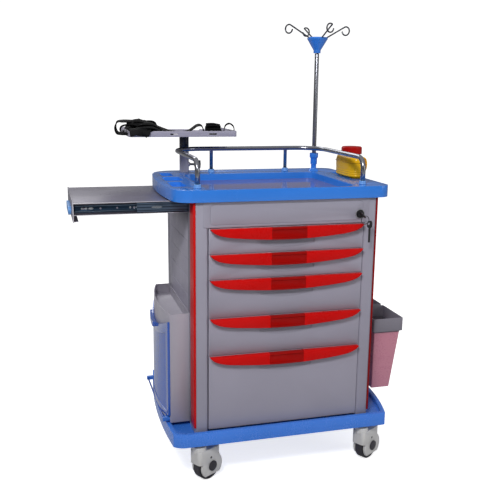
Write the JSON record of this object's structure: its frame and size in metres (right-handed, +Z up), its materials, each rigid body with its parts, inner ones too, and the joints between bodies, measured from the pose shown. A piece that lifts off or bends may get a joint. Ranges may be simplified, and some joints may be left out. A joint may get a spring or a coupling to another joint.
{
  "type": "hospital emergency cart",
  "caption": "Hospital emergency cart with drawers, blue worktop and guard rail, swivel defibrillator shelf, infusion pole, side shelf, side box, waste bins and casters.",
  "frame": {"origin": "on the floor, under the centre of the drawer cabinet", "axes": "+Z up, -Y towards the drawer fronts, +X towards the waste bins"},
  "size_m": [1.111, 0.693, 1.4851],
  "materials": {
    "blue_abs": "gloss, moulded",
    "grey_abs": "fine satin",
    "grey_metal": "powder coat",
    "red_abs": "gloss",
    "clear_tub": "satin",
    "dark_plastic": "satin",
    "slide_steel": "zinc plated",
    "stainless": "polished tube",
    "dark_metal": "satin",
    "strap": "woven webbing",
    "caster_grey": "satin",
    "tyre": "worn",
    "bin_pink": "translucent",
    "yellow": "gloss",
    "light_blue": "satin"
  },
  "bodies": {
    "cart": {"base_deck": "blue_abs", "caster_stems": "slide_steel", "corner_columns": "grey_metal", "column_strips": "red_abs", "side_panels": "grey_metal", "back_panel": "grey_metal", "lock_panel": "grey_abs", "drawer_rails": "slide_steel", "lock_body": "dark_plastic", "worktop_tray": "blue_abs", "guard_rail": "stainless", "rail_ferrules": "blue_abs", "pole_socket": "blue_abs", "pole_outer": "stainless", "shelf_post_outer": "grey_metal", "side_slide_fixed": "slide_steel", "side_box_shell": "grey_abs", "bin_holder": "grey_abs"},
    "drawer_1": {"drawer_1_front": "grey_abs", "drawer_1_tub": "clear_tub", "drawer_1_pull": "red_abs"},
    "drawer_2": {"drawer_2_front": "grey_abs", "drawer_2_tub": "clear_tub", "drawer_2_pull": "red_abs"},
    "drawer_3": {"drawer_3_front": "grey_abs", "drawer_3_tub": "clear_tub", "drawer_3_pull": "red_abs"},
    "drawer_4": {"drawer_4_front": "grey_abs", "drawer_4_tub": "clear_tub", "drawer_4_pull": "red_abs"},
    "drawer_5": {"drawer_5_front": "grey_abs", "drawer_5_tub": "clear_tub", "drawer_5_pull": "red_abs"},
    "side_shelf": {"side_shelf_pan": "grey_metal", "side_shelf_handle": "light_blue", "side_slide_inner": "slide_steel"},
    "side_slide_pair": {"side_slide_middle": "slide_steel"},
    "lock_plug": {"lock_keys": "dark_plastic"},
    "side_door": {"side_box_door": "blue_abs"},
    "pole_slider": {"pole_inner": "stainless"},
    "pole_crown": {"pole_head": "blue_abs", "pole_hooks": "stainless"},
    "shelf_post": {"shelf_post_inner": "dark_metal", "shelf_support_plate": "dark_metal"},
    "shelf": {"defib_shelf": "grey_metal", "defib_straps": "strap"},
    "post_knob": {"shelf_post_knob": "dark_plastic"},
    "waste_bin_front": {"bin_front": "bin_pink"},
    "waste_bin_rear": {"bin_rear": "bin_pink"},
    "sharps_container": {"sharps_box": "yellow"},
    "sharps_cap": {"sharps_lid": "red_abs"},
    "caster_front_left": {"caster_front_left_fork": "caster_grey"},
    "wheel_front_left": {"caster_front_left_wheel": "tyre"},
    "caster_front_right": {"caster_front_right_fork": "caster_grey"},
    "wheel_front_right": {"caster_front_right_wheel": "tyre"},
    "caster_rear_left": {"caster_rear_left_fork": "caster_grey"},
    "wheel_rear_left": {"caster_rear_left_wheel": "tyre"},
    "caster_rear_right": {"caster_rear_right_fork": "caster_grey"},
    "wheel_rear_right": {"caster_rear_right_wheel": "tyre"}
  },
  "joints": [
    {"name": "drawer_1_slide", "type": "slide", "parent": "cart", "child": "drawer_1", "axis": [0, -1, 0], "range_m": [0, 0.36]},
    {"name": "drawer_2_slide", "type": "slide", "parent": "cart", "child": "drawer_2", "axis": [0, -1, 0], "range_m": [0, 0.36]},
    {"name": "drawer_3_slide", "type": "slide", "parent": "cart", "child": "drawer_3", "axis": [0, -1, 0], "range_m": [0, 0.36]},
    {"name": "drawer_4_slide", "type": "slide", "parent": "cart", "child": "drawer_4", "axis": [0, -1, 0], "range_m": [0, 0.36]},
    {"name": "drawer_5_slide", "type": "slide", "parent": "cart", "child": "drawer_5", "axis": [0, -1, 0], "range_m": [0, 0.36]},
    {"name": "side_shelf_slide", "type": "slide", "parent": "cart", "child": "side_shelf", "axis": [1, 0, 0], "range_m": [0, 0.33]},
    {"name": "side_slide_middle_slide", "type": "slide", "parent": "cart", "child": "side_slide_pair", "axis": [1, 0, 0], "range_m": [0, 0.165]},
    {"name": "lock_turn", "type": "hinge", "parent": "cart", "child": "lock_plug", "pos_m": [0.24, -0.245, 0.869], "axis": [0, -1, 0], "range_deg": [0, 90]},
    {"name": "side_door_hinge", "type": "hinge", "parent": "cart", "child": "side_door", "pos_m": [-0.387, 0.0225, 0.193], "axis": [0, -1, 0], "range_deg": [0, 75]},
    {"name": "pole_height", "type": "slide", "parent": "cart", "child": "pole_slider", "axis": [0, 0, 1], "range_m": [0, 0.4]},
    {"name": "pole_turn", "type": "hinge", "parent": "pole_slider", "child": "pole_crown", "pos_m": [0.253, 0.218, 1.402], "axis": [0, 0, 1], "continuous": true},
    {"name": "shelf_height", "type": "slide", "parent": "cart", "child": "shelf_post", "axis": [0, 0, 1], "range_m": [0, 0.2]},
    {"name": "shelf_swivel", "type": "hinge", "parent": "shelf_post", "child": "shelf", "pos_m": [-0.233, 0.264, 1.092], "axis": [0, 0, 1], "continuous": true},
    {"name": "post_knob_turn", "type": "hinge", "parent": "cart", "child": "post_knob", "pos_m": [-0.233, 0.264, 0.985], "axis": [0.9397, -0.342, 0], "range_deg": [0, 360]},
    {"name": "bin_front_lift", "type": "slide", "parent": "cart", "child": "waste_bin_front", "axis": [0, 0, 1], "range_m": [0, 0.25]},
    {"name": "bin_rear_lift", "type": "slide", "parent": "cart", "child": "waste_bin_rear", "axis": [0, 0, 1], "range_m": [0, 0.25]},
    {"name": "sharps_lift", "type": "slide", "parent": "cart", "child": "sharps_container", "axis": [0, 0, 1], "range_m": [0, 0.15]},
    {"name": "sharps_lid_turn", "type": "hinge", "parent": "sharps_container", "child": "sharps_cap", "pos_m": [0.322, 0.027, 1.045], "axis": [0, 0, 1], "continuous": true},
    {"name": "caster_front_left_swivel", "type": "hinge", "parent": "cart", "child": "caster_front_left", "pos_m": [-0.285, -0.239, 0.11], "axis": [0, 0, 1], "continuous": true},
    {"name": "caster_front_left_roll", "type": "hinge", "parent": "caster_front_left", "child": "wheel_front_left", "pos_m": [-0.25447, -0.21992, 0.05], "axis": [0.5299, -0.848, 0], "continuous": true},
    {"name": "caster_front_right_swivel", "type": "hinge", "parent": "cart", "child": "caster_front_right", "pos_m": [0.285, -0.239, 0.11], "axis": [0, 0, 1], "continuous": true},
    {"name": "caster_front_right_roll", "type": "hinge", "parent": "caster_front_right", "child": "wheel_front_right", "pos_m": [0.31553, -0.21992, 0.05], "axis": [0.5299, -0.848, 0], "continuous": true},
    {"name": "caster_rear_left_swivel", "type": "hinge", "parent": "cart", "child": "caster_rear_left", "pos_m": [-0.285, 0.262, 0.11], "axis": [0, 0, 1], "continuous": true},
    {"name": "caster_rear_left_roll", "type": "hinge", "parent": "caster_rear_left", "child": "wheel_rear_left", "pos_m": [-0.25447, 0.28108, 0.05], "axis": [0.5299, -0.848, 0], "continuous": true},
    {"name": "caster_rear_right_swivel", "type": "hinge", "parent": "cart", "child": "caster_rear_right", "pos_m": [0.285, 0.262, 0.11], "axis": [0, 0, 1], "continuous": true},
    {"name": "caster_rear_right_roll", "type": "hinge", "parent": "caster_rear_right", "child": "wheel_rear_right", "pos_m": [0.31553, 0.28108, 0.05], "axis": [0.5299, -0.848, 0], "continuous": true}
  ],
  "couplings": [
    {"joint": "side_slide_middle_slide", "follows": "side_shelf_slide", "ratio": 0.5}
  ]
}
